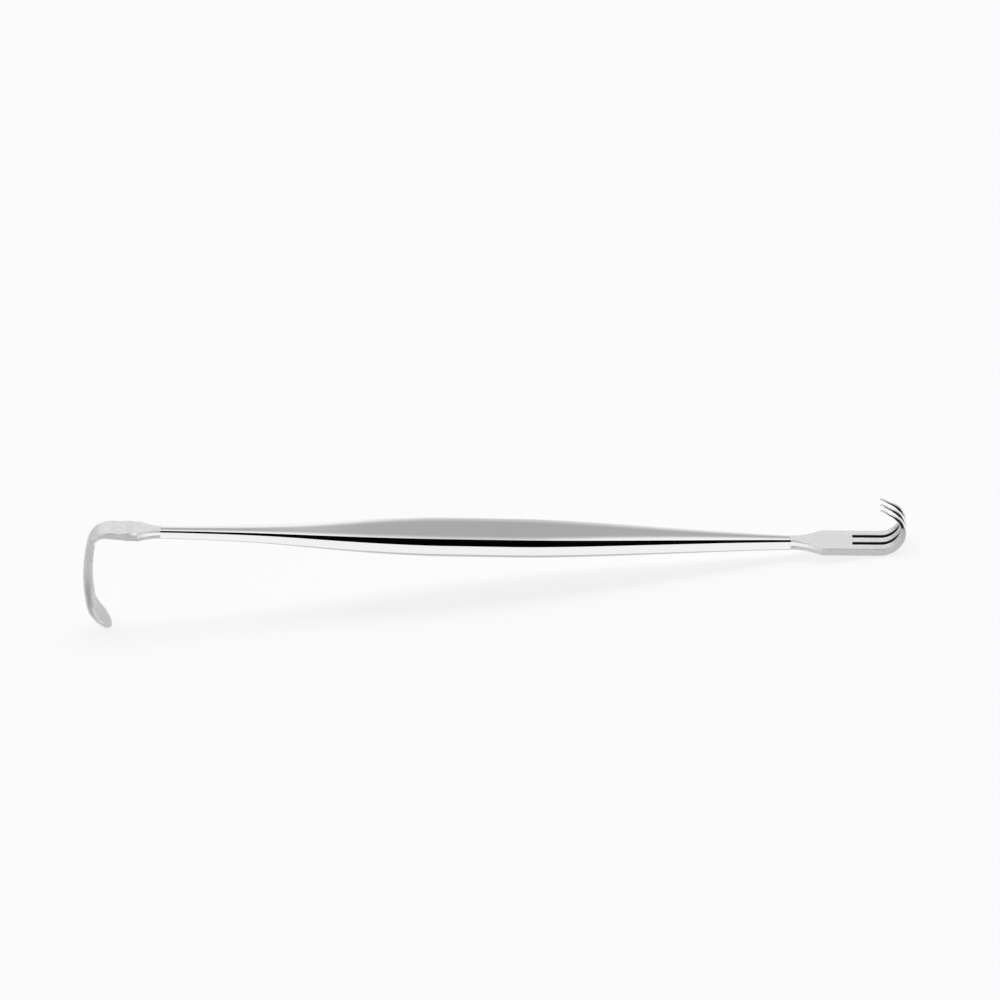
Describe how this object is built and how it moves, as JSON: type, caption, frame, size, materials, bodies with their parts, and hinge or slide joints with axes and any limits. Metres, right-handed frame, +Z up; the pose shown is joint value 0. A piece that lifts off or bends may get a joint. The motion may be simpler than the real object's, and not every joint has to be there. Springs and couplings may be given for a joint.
{
  "type": "handheld surgical retractor",
  "caption": "Double-ended handheld surgical retractor: spindle handle, right-angle blade with a rounded lip, and a claw of sharp prongs.",
  "frame": {"origin": "under the middle of the instrument's box, on the surface that it rests on", "axes": "+X along the instrument from the blade to the claw, +Z up, the way the prongs point, and +Y across"},
  "size_m": [0.1608, 0.0112, 0.0215],
  "materials": {
    "steel": "mirror polished on the handle, satin on the blade and the claw"
  },
  "bodies": {
    "root": {"retractor": "steel"}
  },
  "joints": []
}
